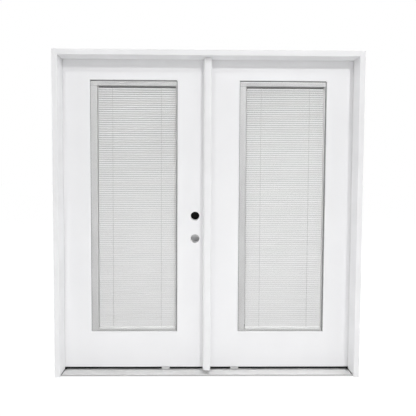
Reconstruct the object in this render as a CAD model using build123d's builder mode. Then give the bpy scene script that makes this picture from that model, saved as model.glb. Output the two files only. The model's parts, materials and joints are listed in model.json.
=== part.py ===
from build123d import *
from math import cos, radians, sin
import os

# Double fibreglass entry door, pre-hung in its frame and seen from outside along +Y.
# Millimetres, +X to the right, +Y from outdoors to the room, +Z up.
# The origin is under the middle of the frame, at half the depth of the jambs.
# Both leaves swing into the room. The left leaf is the active one with the lock bores.
# The right leaf carries the astragal, which laps over the active leaf.

os.makedirs("parts", exist_ok=True)

# Frame
frame_width = 1829.0
frame_height = 1943.0
jamb_depth = 115.9
jamb_thickness = 31.75
stop_height = 12.7
edge_radius = 1.5
cut_overrun = 5.0

# Weatherstrip pressed into a saw kerf in the stop
seal_gap = 6.0
seal_clearance = 0.3
seal_side_gap = 1.2
seal_radius = 2.0
kerf_width = 3.0
kerf_depth = 9.0
kerf_clearance = 0.3

# Sill, a low aluminium tread with a raised nose and shallow grooves, over a composite base
sill_height = 7.0
sill_nose_height = 11.0
sill_nose_width = 5.0
sill_setback = 7.0
sill_wall = 2.2
sill_lip_gap = 3.0
sill_end_gap = 1.6
sill_nose_radius = 2.0
sill_groove_width = 3.0
sill_groove_depth = 0.7
sill_groove_pitch = 11.0
sill_groove_count = 5

# Door leaves
door_thickness = 44.45
hinge_gap = 3.0
meeting_gap = 5.0
stile_width = 173.0
top_rail_height = 134.2
bottom_rail_height = 223.5

# Sweep under each leaf
sweep_height = 10.0
sweep_setback = 1.2
sweep_base = 3.5
sweep_fin_count = 5
sweep_fin_width = 2.4
sill_clearance = 0.3

# Glazed unit with the blind between its panes, behind a bevelled lip of the leaf
lip_depth = 5.5
lip_bevel = 6.5
lip_fall = 5.2
glass_thickness = 3.2
cavity_depth = 22.0
glass_cover = 10.0
pocket_clearance = 2.0
spacer_sight = 6.5
spacer_foot = 11.5
bead_chamfer = 9.0
channel_sight = 41.0
channel_wall = 2.0
headrail_height = 21.0

# Blind
slat_width = 16.0
slat_crown = 1.5
slat_thickness = 0.5
slat_tilt = 65.0
crown_shares = ((-1.0, 0.0), (-0.5, 0.75), (0.0, 1.0), (0.5, 0.75), (1.0, 0.0))
slat_pitch = 13.2
slat_side_gap = 2.0
slat_channel_gap = 4.5
first_slat_drop = 8.0
string_width = 1.4
string_gap = 0.1
string_offset = 149.0
rail_height = 12.0
rail_depth = 18.0
rail_lip = 2.0
rail_rest_gap = 0.3

# Magnetic operator of the blind, on the room side
track_width = 16.0
track_thickness = 2.5
track_end_gap = 15.0
slider_width = 26.0
slider_height = 46.0
slider_depth = 8.0
slider_gap = 0.3
slider_edge = 2.0
slider_drop = 10.0
grip_groove_width = 2.5
grip_groove_depth = 1.5
grip_groove_pitch = 7.0
grip_groove_count = 4
shuttle_height = 60.0
shuttle_gap = 0.3

# Lock preparation in the active leaf
bore_radius = 27.0
backset = 60.3
latch_height = 823.5
bore_spacing = 139.7
edge_bore_radius = 12.7
face_plate_width = 25.4
face_plate_height = 57.15
face_plate_depth = 3.2
cover_radius = 31.0
cover_thickness = 1.8
cover_edge = 0.8

# Astragal on the edge of the passive leaf
astragal_stem = 31.75
astragal_lap = 10.0
astragal_projection = 43.0
astragal_nose_radius = 11.0
astragal_top_gap = 3.2
astragal_sill_gap = 12.0
astragal_foot_bevel = 4.5
astragal_line_width = 1.6
astragal_line_depth = 1.0
boot_inset = 1.5

# Flush bolts in the ends of the astragal
bolt_radius = 4.75
bolt_clearance = 0.05
bolt_length = 150.0
bolt_inset = 1.0
bolt_travel = 18.0
bolt_tip = 1.5
bolt_tab_height = 22.0
bolt_tab_width = 9.0
bolt_tab_distance = 108.0
bolt_tab_gap = 0.5
bolt_slot_gap = 1.0
bolt_hole_radius = 6.0
strike_length = 60.0
strike_width = 26.0
strike_thickness = 2.0
strike_hole_height = 26.0
strike_hole_width = 15.0
strike_hole_depth = 14.0

# Butt hinges, three to a leaf
hinge_height = 101.6
hinge_leaf_width = 38.0
hinge_leaf_thickness = 2.5
barrel_radius = 6.5
barrel_standoff = 0.5
pin_radius = 4.0
pin_clearance = 0.05
pin_head_height = 3.0
knuckle_gap = 0.3
knuckle_count = 5
hinge_top_distance = 178.0
hinge_bottom_distance = 254.0

# Grey spacer clips left in the gap under the leaves
clip_width = 48.0
clip_reach = 9.4
clip_wall = 3.5
clip_height = 13.0
clip_gap = 0.3
left_clip_place = -258.0
right_clip_place = 170.0

# Planes of the frame
front = -jamb_depth / 2
back = jamb_depth / 2
door_face = back - door_thickness
stop_face = door_face - seal_gap
jamb_outer = frame_width / 2
jamb_inner = jamb_outer - jamb_thickness
rabbet_inner = jamb_inner + stop_height
head_stop = frame_height - jamb_thickness
head_rabbet = head_stop + stop_height
stop_middle = jamb_inner + stop_height / 2

# Edges of the leaves, the left one on the negative side
hinge_edge = rabbet_inner - hinge_gap
meeting_edge = (astragal_stem + meeting_gap) / 2
slab_width = hinge_edge - meeting_edge
slab_centre = (hinge_edge + meeting_edge) / 2
door_bottom = sill_height + sill_clearance + sweep_height
door_top = head_rabbet - hinge_gap
slab_height = door_top - door_bottom
slab_middle = (door_top + door_bottom) / 2

# Lite of a leaf, drawn about its own middle
lite_width = slab_width - 2 * stile_width
lite_bottom = door_bottom + bottom_rail_height
lite_top = door_top - top_rail_height
lite_height = lite_top - lite_bottom
lite_middle = (lite_top + lite_bottom) / 2
lite_left = -lite_width / 2
unit_width = lite_width + 2 * glass_cover
unit_height = lite_height + 2 * glass_cover
pocket_width = unit_width + 2 * pocket_clearance
pocket_height = unit_height + 2 * pocket_clearance
outer_glass_face = door_face + lip_depth
cavity_front = outer_glass_face + glass_thickness
cavity_back = cavity_front + cavity_depth
cavity_middle = (cavity_front + cavity_back) / 2
inner_glass_back = cavity_back + glass_thickness
spacer_floor = lite_bottom + spacer_foot
headrail_top = lite_top - spacer_sight
headrail_bottom = headrail_top - headrail_height
unit_left = -unit_width / 2
channel_right = lite_left + channel_sight
channel_middle = (lite_left + channel_right) / 2
spacer_right = -lite_left - spacer_sight

# Hinge axis of the left leaf
hinge_axis_x = -(rabbet_inner - hinge_gap / 2)
hinge_axis_y = back + barrel_radius + barrel_standoff
hinge_heights = (
    door_bottom + hinge_bottom_distance,
    (door_bottom + hinge_bottom_distance + door_top - hinge_top_distance) / 2,
    door_top - hinge_top_distance,
)
bore_place = -(meeting_edge + backset)
deadbolt_height = latch_height + bore_spacing

# Astragal and its bolts
stem_left = meeting_edge - astragal_stem
stem_middle = meeting_edge - astragal_stem / 2
lap_left = -meeting_edge - astragal_lap
astragal_front = door_face - astragal_projection
astragal_bottom = sill_height + astragal_sill_gap
astragal_top = head_stop - astragal_top_gap
leaf_middle = (door_face + back) / 2


def save(part, name):
    """Writes one finished piece."""
    part.label = name
    export_step(part, f"parts/{name}.step")


def save_pair(part, name):
    """Writes a piece of the left side and its mirror image on the right."""
    save(part, f"left_{name}")
    with BuildPart() as twin:
        mirror(part, about=Plane.YZ)
    save(twin.part, f"right_{name}")


def depth_plane(depth):
    """A plane parallel to the door's face, drawn as seen from outside."""
    return Plane.XZ.offset(-depth)


# Side jambs: rabbeted boards over the full height, with a kerf for the weatherstrip
with BuildPart() as jamb:
    with BuildSketch(Plane.XY):
        with BuildLine():
            Polyline(
                (-jamb_outer, front),
                (-jamb_inner, front),
                (-jamb_inner, stop_face),
                (-rabbet_inner, stop_face),
                (-rabbet_inner, back),
                (-jamb_outer, back),
                close=True,
            )
        make_face()
        with Locations((-stop_middle, stop_face)):
            Rectangle(kerf_width, kerf_depth, align=(Align.CENTER, Align.MAX), mode=Mode.SUBTRACT)
    extrude(amount=frame_height)
    front_edges = jamb.edges().filter_by(Axis.Z).group_by(Axis.Y)[0]
    fillet(front_edges, radius=edge_radius)
    for height in hinge_heights:
        with Locations((-rabbet_inner, back, height)):
            Box(
                hinge_leaf_thickness,
                hinge_leaf_width,
                hinge_height,
                align=(Align.MAX, Align.MAX, Align.CENTER),
                mode=Mode.SUBTRACT,
            )
save_pair(jamb.part, "jamb")

# Head jamb: the same section, fitted between the side jambs
with BuildPart() as head_jamb:
    with BuildSketch(Plane.YZ):
        with Locations((front, head_stop)):
            Rectangle(stop_face - front, jamb_thickness, align=(Align.MIN, Align.MIN))
        with Locations((stop_face, head_stop + stop_height / 2)):
            Rectangle(kerf_depth, kerf_width, align=(Align.MAX, Align.CENTER), mode=Mode.SUBTRACT)
    extrude(amount=jamb_inner, both=True)
    front_edges = head_jamb.edges().filter_by(Axis.X).group_by(Axis.Y)[0]
    fillet(front_edges, radius=edge_radius)
    with BuildSketch(Plane.YZ):
        with Locations((stop_face, head_rabbet)):
            Rectangle(back - stop_face, frame_height - head_rabbet, align=(Align.MIN, Align.MIN))
    extrude(amount=rabbet_inner, both=True)
    with Locations((stem_middle, leaf_middle, head_rabbet)):
        Box(
            strike_length,
            strike_width,
            strike_thickness,
            align=(Align.CENTER, Align.CENTER, Align.MIN),
            mode=Mode.SUBTRACT,
        )
        Cylinder(
            bolt_hole_radius,
            bolt_travel,
            align=(Align.CENTER, Align.CENTER, Align.MIN),
            mode=Mode.SUBTRACT,
        )
save(head_jamb.part, "head_jamb")

# Strike plate let into the head over the upper flush bolt
with BuildPart() as head_strike:
    with BuildSketch(Plane.XY.offset(head_rabbet)):
        with Locations((stem_middle, leaf_middle)):
            Rectangle(strike_length, strike_width)
            Circle(bolt_hole_radius, mode=Mode.SUBTRACT)
    extrude(amount=strike_thickness)
save(head_strike.part, "head_strike")

# Sill: a tread with a raised nose and a lip at the back, over a base that carries it to the floor
sill_front = front + sill_setback
sill_depth = back - sill_front
tread_underside = sill_height - sill_wall
groove_start = sill_front + sill_groove_pitch


def notch_sill_ends():
    """Clears the stops of the side jambs and the hole for the lower flush bolt."""
    for side, alignment in ((-1, Align.MAX), (1, Align.MIN)):
        with Locations((side * (jamb_inner - sill_end_gap), front, 0)):
            Box(
                stop_height + sill_end_gap + cut_overrun,
                stop_face + sill_end_gap - front,
                2 * sill_nose_height + cut_overrun,
                align=(alignment, Align.MIN, Align.CENTER),
                mode=Mode.SUBTRACT,
            )
    with Locations((stem_middle, leaf_middle, 0)):
        Cylinder(bolt_hole_radius, 2 * sill_nose_height + cut_overrun, mode=Mode.SUBTRACT)


with BuildPart() as sill:
    with BuildSketch(Plane.YZ):
        with Locations((sill_front, sill_height)):
            Rectangle(sill_depth, sill_wall, align=(Align.MIN, Align.MAX))
        with Locations((sill_front, sill_lip_gap)):
            Rectangle(sill_nose_width, sill_nose_height - sill_lip_gap, align=(Align.MIN, Align.MIN))
        with Locations((back, sill_height)):
            Rectangle(sill_wall, sill_height - sill_lip_gap, align=(Align.MAX, Align.MAX))
        for number in range(sill_groove_count):
            with Locations((groove_start + number * sill_groove_pitch, sill_height)):
                Rectangle(
                    sill_groove_width,
                    sill_groove_depth,
                    align=(Align.CENTER, Align.MAX),
                    mode=Mode.SUBTRACT,
                )
    extrude(amount=rabbet_inner, both=True)
    nose_edges = sill.edges().filter_by(Axis.X).group_by(Axis.Z)[-1]
    fillet(nose_edges, radius=sill_nose_radius)
    notch_sill_ends()
save(sill.part, "sill")

with BuildPart() as sill_base:
    with BuildSketch(Plane.YZ):
        with Locations((sill_front + sill_nose_width, 0)):
            Rectangle(
                sill_depth - sill_nose_width - sill_wall,
                tread_underside,
                align=(Align.MIN, Align.MIN),
            )
    extrude(amount=rabbet_inner, both=True)
    notch_sill_ends()
save(sill_base.part, "sill_base")

# Weatherstrip down each side jamb: a bulb on the stop and a leg in the kerf
bulb_width = stop_height - 2 * seal_side_gap
bulb_depth = seal_gap - seal_clearance
leg_width = kerf_width - 2 * kerf_clearance
leg_depth = kerf_depth - kerf_clearance
with BuildPart() as jamb_seal:
    with BuildSketch(Plane.XY.offset(sill_height)):
        with Locations((-stop_middle, stop_face)):
            Rectangle(bulb_width, bulb_depth, align=(Align.CENTER, Align.MIN))
            Rectangle(leg_width, leg_depth, align=(Align.CENTER, Align.MAX))
    extrude(amount=head_stop - sill_height)
    bulb_edges = jamb_seal.edges().filter_by(Axis.Z).group_by(Axis.Y)[-1]
    fillet(bulb_edges, radius=seal_radius)
save_pair(jamb_seal.part, "jamb_seal")

# Weatherstrip along the head
with BuildPart() as head_seal:
    with BuildSketch(Plane.YZ):
        with Locations((stop_face, head_stop + stop_height / 2)):
            Rectangle(bulb_depth, bulb_width, align=(Align.MIN, Align.CENTER))
            Rectangle(leg_depth, leg_width, align=(Align.MAX, Align.CENTER))
    extrude(amount=jamb_inner, both=True)
    bulb_edges = head_seal.edges().filter_by(Axis.X).group_by(Axis.Y)[-1]
    fillet(bulb_edges, radius=seal_radius)
save(head_seal.part, "head_seal")

# Spacer clips: small angles standing on the tread in front of the sweep
for name, place in (("left_sill_clip", left_clip_place), ("right_sill_clip", right_clip_place)):
    with BuildPart() as clip:
        with BuildSketch(Plane.YZ.offset(place - clip_width / 2)):
            with Locations((door_face + sweep_setback - clip_gap, sill_height)):
                Rectangle(clip_reach, clip_wall, align=(Align.MAX, Align.MIN))
                Rectangle(clip_wall, door_bottom - clip_gap - sill_height, align=(Align.MAX, Align.MIN))
            with Locations((door_face + sweep_setback - clip_gap - clip_reach, sill_height)):
                Rectangle(clip_wall, clip_height, align=(Align.MIN, Align.MIN))
        extrude(amount=clip_width)
    save(clip.part, name)

# Leaf: one bonded slab with the stepped opening for the glazed unit and hinge mortises
with BuildPart() as plain_slab:
    with BuildSketch(depth_plane(door_face)):
        with Locations((-slab_centre, slab_middle)):
            Rectangle(slab_width, slab_height)
        with Locations((-slab_centre, lite_middle)):
            Rectangle(lite_width, lite_height, mode=Mode.SUBTRACT)
    extrude(amount=-door_thickness)
    outer_skin = plain_slab.faces().sort_by(Axis.Y)[0]
    lip_edges = outer_skin.inner_wires()[0].edges()
    chamfer(lip_edges, length=lip_bevel, length2=lip_fall, reference=outer_skin)
    with BuildSketch(depth_plane(outer_glass_face)):
        with Locations((-slab_centre, lite_middle)):
            Rectangle(pocket_width, pocket_height)
    extrude(amount=-door_thickness, mode=Mode.SUBTRACT)
    for height in hinge_heights:
        with Locations((-hinge_edge, back, height)):
            Box(
                hinge_leaf_thickness,
                hinge_leaf_width,
                hinge_height,
                align=(Align.MIN, Align.MAX, Align.CENTER),
                mode=Mode.SUBTRACT,
            )

# The active leaf is bored for a latch and a deadbolt
with BuildPart() as left_slab:
    add(plain_slab.part)
    with BuildSketch(depth_plane(door_face)):
        with Locations((bore_place, latch_height), (bore_place, deadbolt_height)):
            Circle(bore_radius)
    extrude(amount=-door_thickness, mode=Mode.SUBTRACT)
    with BuildSketch(Plane.YZ.offset(-meeting_edge)):
        with Locations((leaf_middle, latch_height), (leaf_middle, deadbolt_height)):
            Circle(edge_bore_radius)
    extrude(amount=-backset, mode=Mode.SUBTRACT)
    with BuildSketch(Plane.YZ.offset(-meeting_edge)):
        with Locations((leaf_middle, latch_height), (leaf_middle, deadbolt_height)):
            Rectangle(face_plate_width, face_plate_height)
    extrude(amount=-face_plate_depth, mode=Mode.SUBTRACT)
save(left_slab.part, "left_slab")

with BuildPart() as right_slab:
    mirror(plain_slab.part, about=Plane.YZ)
save(right_slab.part, "right_slab")

# Dust covers over the bores, stuck to the room side of the leaf
for name, height in (("latch_cover", latch_height), ("deadbolt_cover", deadbolt_height)):
    with BuildPart() as cover:
        with BuildSketch(depth_plane(back)):
            with Locations((bore_place, height)):
                Circle(cover_radius)
        extrude(amount=-cover_thickness)
        chamfer(cover.faces().sort_by(Axis.Y)[-1].edges(), length=cover_edge)
    save(cover.part, name)

# Sweep: a base strip under the leaf with a row of fins down to the sill
sweep_depth = door_thickness - 2 * sweep_setback
fin_pitch = (sweep_depth - sweep_fin_width) / (sweep_fin_count - 1)
with BuildPart() as sweep:
    with BuildSketch(Plane.YZ.offset(-hinge_edge)):
        with Locations((door_face + sweep_setback, door_bottom)):
            Rectangle(sweep_depth, sweep_base, align=(Align.MIN, Align.MAX))
        for number in range(sweep_fin_count):
            with Locations((door_face + sweep_setback + number * fin_pitch, door_bottom)):
                Rectangle(sweep_fin_width, sweep_height, align=(Align.MIN, Align.MAX))
    extrude(amount=slab_width)
save_pair(sweep.part, "sweep")

# Glazed unit and blind, drawn once about the middle of a lite
lite_pieces = {}

for name, face in (("outer_glass", outer_glass_face), ("inner_glass", cavity_back)):
    with BuildPart() as pane:
        with BuildSketch(depth_plane(face)):
            with Locations((0, lite_middle)):
                Rectangle(unit_width, unit_height)
        extrude(amount=-glass_thickness)
    lite_pieces[name] = pane.part

# Spacer: three sides of the unit's edge, the operator's channel being the fourth
with BuildPart() as spacer:
    with BuildSketch(depth_plane(cavity_front)):
        with Locations((0, lite_middle)):
            Rectangle(unit_width, unit_height)
        with Locations((unit_left, spacer_floor)):
            Rectangle(
                spacer_right - unit_left,
                headrail_top - spacer_floor,
                align=(Align.MIN, Align.MIN),
                mode=Mode.SUBTRACT,
            )
    extrude(amount=-cavity_depth)
lite_pieces["spacer"] = spacer.part

# Glazing bead: a picture frame that holds the unit in from the room side
with BuildPart() as glazing_bead:
    with BuildSketch(depth_plane(inner_glass_back)):
        with Locations((0, lite_middle)):
            Rectangle(pocket_width, pocket_height)
            Rectangle(lite_width, lite_height, mode=Mode.SUBTRACT)
    extrude(amount=inner_glass_back - back)
    room_face = glazing_bead.faces().sort_by(Axis.Y)[-1]
    chamfer(room_face.inner_wires()[0].edges(), length=bead_chamfer)
lite_pieces["glazing_bead"] = glazing_bead.part

# Head rail of the blind across the top of the unit, an open trough
with BuildPart() as headrail:
    with BuildSketch(depth_plane(cavity_front)):
        with Locations((unit_left, headrail_bottom)):
            Rectangle(spacer_right - unit_left, headrail_height, align=(Align.MIN, Align.MIN))
    extrude(amount=-cavity_depth)
    with BuildSketch(depth_plane(cavity_front + channel_wall)):
        with Locations((unit_left + channel_wall, headrail_bottom + channel_wall)):
            Rectangle(
                spacer_right - unit_left - 2 * channel_wall,
                headrail_height,
                align=(Align.MIN, Align.MIN),
            )
    extrude(amount=2 * channel_wall - cavity_depth, mode=Mode.SUBTRACT)
lite_pieces["headrail"] = headrail.part

# Side channel: a trough that opens to the room, in which the magnet shuttle runs
channel_height = headrail_bottom - spacer_floor
with BuildPart() as side_channel:
    with BuildSketch(Plane.XY.offset(spacer_floor)):
        with Locations((unit_left, cavity_front)):
            Rectangle(channel_right - unit_left, cavity_depth, align=(Align.MIN, Align.MIN))
        with Locations((lite_left + channel_wall, cavity_front + channel_wall)):
            Rectangle(
                channel_sight - 2 * channel_wall,
                cavity_depth,
                align=(Align.MIN, Align.MIN),
                mode=Mode.SUBTRACT,
            )
    extrude(amount=channel_height)
lite_pieces["side_channel"] = side_channel.part

# Slats: crowned strips, tilted shut with the lower edge outwards, tied by ladder strings
slat_left = channel_right + slat_channel_gap
slat_right = spacer_right - slat_side_gap
slat_middle = (slat_left + slat_right) / 2
rail_bottom = spacer_floor + rail_rest_gap
rail_top = rail_bottom + rail_height
half_rise = slat_width / 2 * sin(radians(slat_tilt))
half_run = slat_width / 2 * cos(radians(slat_tilt)) + slat_thickness * sin(radians(slat_tilt))
string_front = cavity_middle - half_run - string_gap - string_width
slat_zone = headrail_bottom - first_slat_drop - rail_top - 2 * half_rise
slat_count = int(slat_zone / slat_pitch) + 1
slat_step = slat_zone / (slat_count - 1)
slats_middle = headrail_bottom - first_slat_drop - half_rise - slat_zone / 2
with BuildSketch() as slat_section:
    with BuildLine():
        hollow = [(u * slat_width / 2, v * slat_crown) for u, v in crown_shares]
        crown = [(u, v + slat_thickness) for u, v in reversed(hollow)]
        Polyline(*hollow, *crown, close=True)
    make_face()
with BuildPart() as slats:
    with BuildSketch(Plane.YZ.offset(slat_left)):
        with Locations((cavity_middle, slats_middle)):
            with GridLocations(slat_step, slat_step, 1, slat_count):
                add(slat_section.sketch, rotation=slat_tilt)
    extrude(amount=slat_right - slat_left)
    with BuildSketch(Plane.XY.offset(rail_top)):
        with Locations((slat_middle, string_front)):
            with GridLocations(2 * string_offset, string_width, 2, 1):
                Rectangle(string_width, string_width, align=(Align.CENTER, Align.MIN))
    extrude(amount=headrail_bottom - rail_top)
lite_pieces["slats"] = slats.part

# Bottom rail: a small bar with rounded lower edges under the last slat
with BuildPart() as bottom_rail:
    with BuildSketch(Plane.YZ.offset(slat_left)):
        with Locations((cavity_middle, rail_bottom)):
            Rectangle(rail_depth, rail_height, align=(Align.CENTER, Align.MIN))
    extrude(amount=slat_right - slat_left)
    fillet(bottom_rail.edges().filter_by(Axis.X).group_by(Axis.Z)[0], radius=rail_lip)
lite_pieces["bottom_rail"] = bottom_rail.part

# Operator track bonded to the room side of the inner pane
track_bottom = spacer_floor + track_end_gap
track_top = headrail_bottom - track_end_gap
with BuildPart() as operator_track:
    with BuildSketch(Plane.XY.offset(track_bottom)):
        with Locations((channel_middle, inner_glass_back)):
            Rectangle(track_width, track_thickness, align=(Align.CENTER, Align.MIN))
    extrude(amount=track_top - track_bottom)
lite_pieces["operator_track"] = operator_track.part

# Lift slider: a finger grip that straddles the track
slider_top = track_top - slider_drop
slider_middle = slider_top - slider_height / 2
slider_face = inner_glass_back + track_thickness + slider_gap + slider_depth
with BuildPart() as lift_slider:
    with BuildSketch(depth_plane(slider_face)):
        with Locations((channel_middle, slider_middle)):
            Rectangle(slider_width, slider_height)
    extrude(amount=slider_face - inner_glass_back - slider_gap)
    fillet(lift_slider.edges().filter_by(Axis.Y), radius=slider_edge)
    chamfer(lift_slider.faces().sort_by(Axis.Y)[-1].edges(), length=slider_edge)
    with BuildSketch(Plane.XY.offset(slider_top)):
        with Locations((channel_middle, inner_glass_back)):
            Rectangle(
                track_width + 2 * slider_gap,
                track_thickness + slider_gap,
                align=(Align.CENTER, Align.MIN),
            )
    extrude(amount=-slider_height, mode=Mode.SUBTRACT)
    with BuildSketch(Plane.YZ.offset(channel_middle - slider_width / 2)):
        with Locations((slider_face, slider_middle)):
            with GridLocations(grip_groove_pitch, grip_groove_pitch, 1, grip_groove_count):
                Rectangle(2 * grip_groove_depth, grip_groove_width)
    extrude(amount=slider_width, mode=Mode.SUBTRACT)
lite_pieces["lift_slider"] = lift_slider.part

# Magnet shuttle: the block inside the channel that the slider pulls along
with BuildPart() as lift_shuttle:
    with Locations((channel_middle, cavity_back - shuttle_gap, slider_middle)):
        Box(
            channel_sight - 2 * channel_wall - 2 * shuttle_gap,
            cavity_depth - channel_wall - 2 * shuttle_gap,
            shuttle_height,
            align=(Align.CENTER, Align.MAX, Align.CENTER),
        )
    chamfer(lift_shuttle.edges().filter_by(Axis.Y), length=slider_edge)
lite_pieces["lift_shuttle"] = lift_shuttle.part

for side, centre in (("left", -slab_centre), ("right", slab_centre)):
    for name, piece in lite_pieces.items():
        with BuildPart() as placed:
            with Locations((centre, 0, 0)):
                add(piece)
        save(placed.part, f"{side}_{name}")

# Hinges: leaves with alternating knuckles, and a headed pin through them
knuckle_length = (hinge_height - (knuckle_count - 1) * knuckle_gap) / knuckle_count
knuckle_pitch = knuckle_length + knuckle_gap


def hinge_leaves(plate_side, first_knuckle):
    """The leaves on one side of the hinge gap; plate_side is -1 on the jamb and 1 on the door."""
    plate_face = hinge_axis_x + plate_side * hinge_gap / 2
    plate_align = Align.MAX if plate_side < 0 else Align.MIN
    knuckles = range(first_knuckle, knuckle_count, 2)
    with BuildPart() as leaves:
        for height in hinge_heights:
            with Locations((plate_face, back, height)):
                Box(
                    hinge_leaf_thickness,
                    hinge_leaf_width,
                    hinge_height,
                    align=(plate_align, Align.MAX, Align.CENTER),
                )
            for number in knuckles:
                bottom = height - hinge_height / 2 + number * knuckle_pitch
                with Locations((plate_face, back, bottom)):
                    Box(
                        hinge_leaf_thickness,
                        hinge_axis_y - back,
                        knuckle_length,
                        align=(plate_align, Align.MIN, Align.MIN),
                    )
                with Locations((hinge_axis_x, hinge_axis_y, bottom)):
                    Cylinder(
                        barrel_radius,
                        knuckle_length,
                        align=(Align.CENTER, Align.CENTER, Align.MIN),
                    )
            with Locations((hinge_axis_x, hinge_axis_y, height)):
                Cylinder(
                    pin_radius + pin_clearance,
                    hinge_height + cut_overrun,
                    mode=Mode.SUBTRACT,
                )
    return leaves.part


save_pair(hinge_leaves(-1, 0), "jamb_hinge_leaves")
save_pair(hinge_leaves(1, 1), "door_hinge_leaves")

with BuildPart() as hinge_pins:
    for height in hinge_heights:
        with Locations((hinge_axis_x, hinge_axis_y, height)):
            Cylinder(pin_radius, hinge_height)
        with Locations((hinge_axis_x, hinge_axis_y, height + hinge_height / 2)):
            Cylinder(barrel_radius, pin_head_height, align=(Align.CENTER, Align.CENTER, Align.MIN))
        with Locations((hinge_axis_x, hinge_axis_y, height - hinge_height / 2)):
            Cylinder(barrel_radius, pin_head_height, align=(Align.CENTER, Align.CENTER, Align.MAX))
save_pair(hinge_pins.part, "hinge_pins")

# Astragal: a rabbeted, round-nosed post on the edge of the passive leaf
with BuildPart() as astragal:
    with BuildSketch(Plane.XY.offset(astragal_bottom)):
        with BuildLine():
            Polyline(
                (lap_left, astragal_front),
                (meeting_edge, astragal_front),
                (meeting_edge, back),
                (stem_left, back),
                (stem_left, stop_face),
                (lap_left, stop_face),
                close=True,
            )
        make_face()
    extrude(amount=astragal_top - astragal_bottom)
    nose_edges = astragal.edges().filter_by(Axis.Z).group_by(Axis.Y)[0]
    fillet(nose_edges, radius=astragal_nose_radius)
    chamfer(astragal.faces().sort_by(Axis.Z)[0].edges(), length=astragal_foot_bevel)
    with BuildSketch(Plane.XY.offset(astragal_bottom)):
        with Locations((lap_left + astragal_nose_radius, astragal_front)):
            Rectangle(astragal_line_width, 2 * astragal_line_depth)
    extrude(amount=astragal_top - astragal_bottom, mode=Mode.SUBTRACT)
    with BuildSketch(Plane.XY.offset(astragal_top)):
        with Locations((stem_middle, leaf_middle)):
            Rectangle(astragal_stem, door_thickness)
    extrude(amount=door_top - astragal_top)
    slot_height = bolt_tab_height + bolt_travel + 2 * bolt_slot_gap
    slot_width = bolt_tab_width + 2 * bolt_slot_gap
    bore_depth = bolt_inset + bolt_length + bolt_slot_gap
    for end, inward in ((door_top, -1), (astragal_bottom, 1)):
        with Locations((stem_middle, leaf_middle, end + inward * bore_depth / 2)):
            Cylinder(bolt_radius + bolt_clearance, bore_depth, mode=Mode.SUBTRACT)
        slot_middle = end + inward * (bolt_tab_distance - bolt_travel / 2)
        with Locations((stem_left, leaf_middle, slot_middle)):
            Box(
                astragal_stem / 2,
                slot_width,
                slot_height,
                align=(Align.MIN, Align.CENTER, Align.CENTER),
                mode=Mode.SUBTRACT,
            )
    for height in (latch_height, deadbolt_height):
        with Locations((stem_left, leaf_middle, height)):
            Box(
                strike_thickness,
                face_plate_width,
                face_plate_height,
                align=(Align.MIN, Align.CENTER, Align.CENTER),
                mode=Mode.SUBTRACT,
            )
            Box(
                strike_hole_depth,
                strike_hole_width,
                strike_hole_height,
                align=(Align.MIN, Align.CENTER, Align.CENTER),
                mode=Mode.SUBTRACT,
            )
save(astragal.part, "astragal")

# Strike plates let into the astragal for the latch and the deadbolt
with BuildPart() as lock_strikes:
    with BuildSketch(Plane.YZ.offset(stem_left)):
        with Locations((leaf_middle, latch_height), (leaf_middle, deadbolt_height)):
            Rectangle(face_plate_width, face_plate_height)
            Rectangle(strike_hole_width, strike_hole_height, mode=Mode.SUBTRACT)
    extrude(amount=strike_thickness)
save(lock_strikes.part, "lock_strikes")

# Weatherstrip on the lap of the astragal
lap_middle = (lap_left - meeting_edge) / 2
with BuildPart() as astragal_seal:
    with BuildSketch(Plane.XY.offset(astragal_bottom)):
        with Locations((lap_middle, stop_face)):
            Rectangle(astragal_lap - seal_side_gap, bulb_depth, align=(Align.CENTER, Align.MIN))
    extrude(amount=astragal_top - astragal_bottom)
    bulb_edges = astragal_seal.edges().filter_by(Axis.Z).group_by(Axis.Y)[-1]
    fillet(bulb_edges, radius=seal_radius)
save(astragal_seal.part, "astragal_seal")

# Rubber boot between the foot of the astragal and the sill
with BuildPart() as astragal_boot:
    with BuildSketch(Plane.XY.offset(sill_height + sill_clearance)):
        with Locations((stem_middle, leaf_middle)):
            Rectangle(astragal_stem - 2 * boot_inset, door_thickness - 2 * boot_inset)
            Circle(bolt_hole_radius, mode=Mode.SUBTRACT)
    extrude(amount=astragal_bottom - sill_height - sill_clearance)
save(astragal_boot.part, "astragal_boot")

# Flush bolts: round rods with a thumb tab, drawn back at rest
for name, end, inward in (("top_bolt", door_top, -1), ("bottom_bolt", astragal_bottom, 1)):
    with BuildPart() as bolt:
        with Locations((stem_middle, leaf_middle, end + inward * (bolt_inset + bolt_length / 2))):
            Cylinder(bolt_radius, bolt_length)
        chamfer(bolt.edges().filter_by(GeomType.CIRCLE), length=bolt_tip)
        with Locations((stem_left + bolt_tab_gap, leaf_middle, end + inward * bolt_tab_distance)):
            Box(
                astragal_stem / 2 - bolt_tab_gap,
                bolt_tab_width,
                bolt_tab_height,
                align=(Align.MIN, Align.CENTER, Align.CENTER),
            )
    save(bolt.part, name)
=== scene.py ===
# %% [markdown]
# A double entry door in a studio.
# The solids of the door come from its CAD model and stay where they are.
# This script gives each solid its finish, adds the pieces that are too fine for the solids,
# and sets up the light and the camera of the picture.

# %% Load the door
import json
import math
import random

import bmesh
import bpy
from mathutils import Matrix, Vector


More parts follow.
